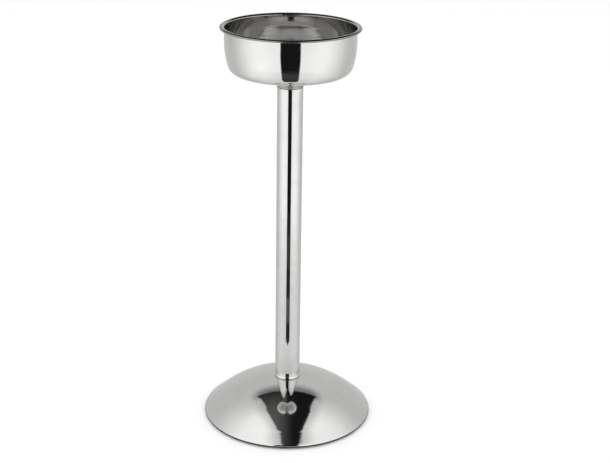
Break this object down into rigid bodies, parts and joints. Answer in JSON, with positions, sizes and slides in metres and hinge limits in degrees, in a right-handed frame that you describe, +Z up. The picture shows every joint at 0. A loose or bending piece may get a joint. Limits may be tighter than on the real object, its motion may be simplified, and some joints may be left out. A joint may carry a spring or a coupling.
{
  "type": "champagne bucket stand",
  "caption": "Floor stand for a champagne bucket: a shallow round steel cup with a rolled rim on a tube, over a weighted domed round base.",
  "frame": {"origin": "middle of the floor contact, on the axis of the tube", "axes": "+Z up along the tube; X and Y are equivalent, because the stand is turned about Z"},
  "size_m": [0.2578, 0.2578, 0.61],
  "materials": {
    "polished_stainless": "mirror-polished stainless steel with faint spinning lines",
    "satin_casting": "satin, slightly grained casting",
    "zinc_plated_steel": "bright zinc plate",
    "cast_iron": "rough, black-dipped sand casting",
    "black_paint": "matt black paint on sheet steel",
    "black_rubber": "matt moulded rubber"
  },
  "bodies": {
    "root": {"holder_cup": "polished_stainless", "cup_flange": "satin_casting", "cup_screw": "polished_stainless", "cup_flat_washer": "zinc_plated_steel", "cup_lock_washer": "zinc_plated_steel", "column_tube": "polished_stainless", "tube_top_plug": "zinc_plated_steel", "tube_bottom_plug": "zinc_plated_steel", "base_dome": "polished_stainless", "hub_washer": "zinc_plated_steel", "ballast_weight": "cast_iron", "base_bolt": "zinc_plated_steel", "base_flat_washer": "zinc_plated_steel", "base_lock_washer": "zinc_plated_steel", "base_plate": "black_paint", "plate_screw_1": "zinc_plated_steel", "plate_screw_2": "zinc_plated_steel", "plate_screw_3": "zinc_plated_steel", "plate_screw_4": "zinc_plated_steel", "floor_ring": "black_rubber"}
  },
  "joints": []
}
